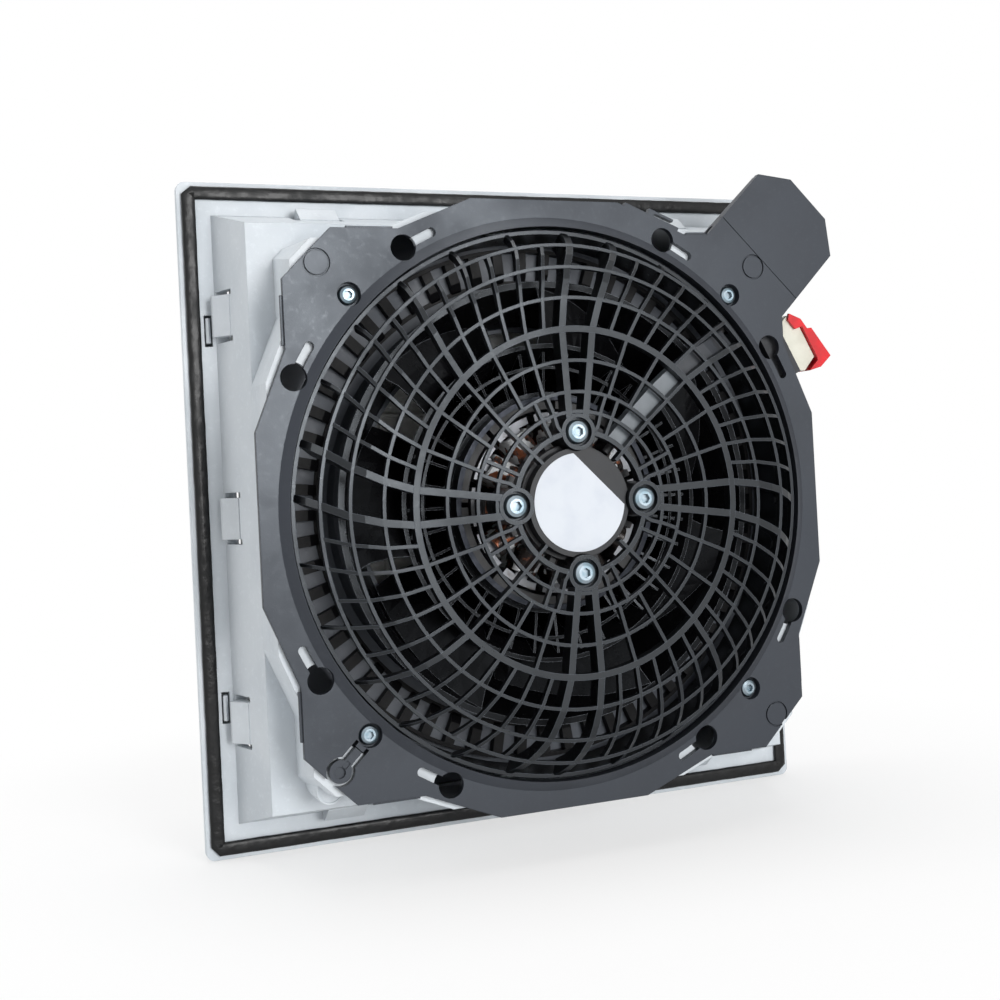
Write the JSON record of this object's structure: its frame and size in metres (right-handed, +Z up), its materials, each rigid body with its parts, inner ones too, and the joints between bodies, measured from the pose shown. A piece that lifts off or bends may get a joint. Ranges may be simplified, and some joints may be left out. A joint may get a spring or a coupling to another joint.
{
  "type": "enclosure fan-and-filter unit",
  "caption": "Square enclosure fan-and-filter unit with louvred front, gasketed flange, round guard grille, mixed-flow impeller, terminal arm and supply plug.",
  "frame": {"origin": "centre of the gasket's sealing face, on the fan axis", "axes": "+Z up, +Y out through the louvre along the fan axis, +X to the right seen from the fan side"},
  "size_m": [0.323, 0.1182, 0.323],
  "materials": {
    "housing_light": "textured moulded plastic",
    "clip_white": "moulded plastic",
    "gasket_foam": "foamed in place",
    "filter_white": "fleece",
    "grid_white": "moulded plastic",
    "ring_light": "moulded plastic",
    "ring_dark": "fine texture",
    "plate_dark": "fine texture",
    "guard_dark": "fine texture",
    "zinc_steel": "zinc plated",
    "steel": "turned",
    "motor_dark": "satin paint",
    "label_white": "bare printed-label stock",
    "core_steel": "stacked sheets",
    "copper": "enamelled wire",
    "magnet": "plastic-bonded magnet",
    "duct_grey": "moulded plastic",
    "cable_black": "sheath",
    "impeller_black": "glass-filled plastic",
    "terminal_ivory": "moulded plastic",
    "plug_cream": "moulded plastic",
    "lever_red": "moulded plastic",
    "socket_dark": "moulded plastic"
  },
  "bodies": {
    "housing": {"base_frame": "housing_light", "gasket": "gasket_foam", "panel_clips": "clip_white", "filter_grid": "grid_white", "filter_mat": "filter_white", "inlet_ring": "ring_light", "guide_ring": "ring_dark"},
    "louvre": {"louvre_cover": "housing_light", "louvre_hinge_pins": "steel"},
    "fan_unit": {"fan_plate": "plate_dark", "guard_grille": "guard_dark", "plate_screws": "zinc_steel", "hub_screws": "zinc_steel", "motor_flange": "motor_dark", "label_disc": "label_white", "bearing_tube": "motor_dark", "stator_core": "core_steel", "stator_windings": "copper", "bearing_upper": "steel", "bearing_lower": "steel", "cable_duct": "duct_grey", "motor_lead": "cable_black", "terminal_cover": "plate_dark", "terminal_tray": "plate_dark", "terminal_block": "terminal_ivory", "plug_socket": "socket_dark"},
    "rotor": {"rotor_can": "steel", "rotor_magnets": "magnet", "shaft": "steel", "shaft_ring": "steel", "impeller": "impeller_black"},
    "latch": {"latch_tongue": "plate_dark"},
    "plug": {"plug_body": "plug_cream"},
    "plug_lever": {"plug_lever": "lever_red"}
  },
  "joints": [
    {"name": "fan_turn", "type": "hinge", "parent": "housing", "child": "fan_unit", "pos_m": [0, -0.0647, 0], "axis": [0, 1, 0], "range_deg": [0, 6.4]},
    {"name": "rotor_spin", "type": "hinge", "parent": "fan_unit", "child": "rotor", "pos_m": [0, -0.04, 0], "axis": [0, 1, 0], "continuous": true},
    {"name": "louvre_swing", "type": "hinge", "parent": "housing", "child": "louvre", "pos_m": [0.1552, 0.0103, 0], "axis": [0, 0, -1], "range_deg": [0, 90]},
    {"name": "latch_flex", "type": "hinge", "parent": "fan_unit", "child": "latch", "pos_m": [-0.10373, -0.0647, -0.10373], "axis": [-0.7071, 0, 0.7071], "range_deg": [0, 8], "stiffness_Nm_per_rad": 0.05},
    {"name": "plug_pull", "type": "slide", "parent": "fan_unit", "child": "plug", "axis": [0.8854, 0, 0.4648], "range_m": [0, 0.009]},
    {"name": "lever_press", "type": "hinge", "parent": "plug", "child": "plug_lever", "pos_m": [0.13921, -0.053, 0.08506], "axis": [0, -1, 0], "range_deg": [0, 30]}
  ]
}
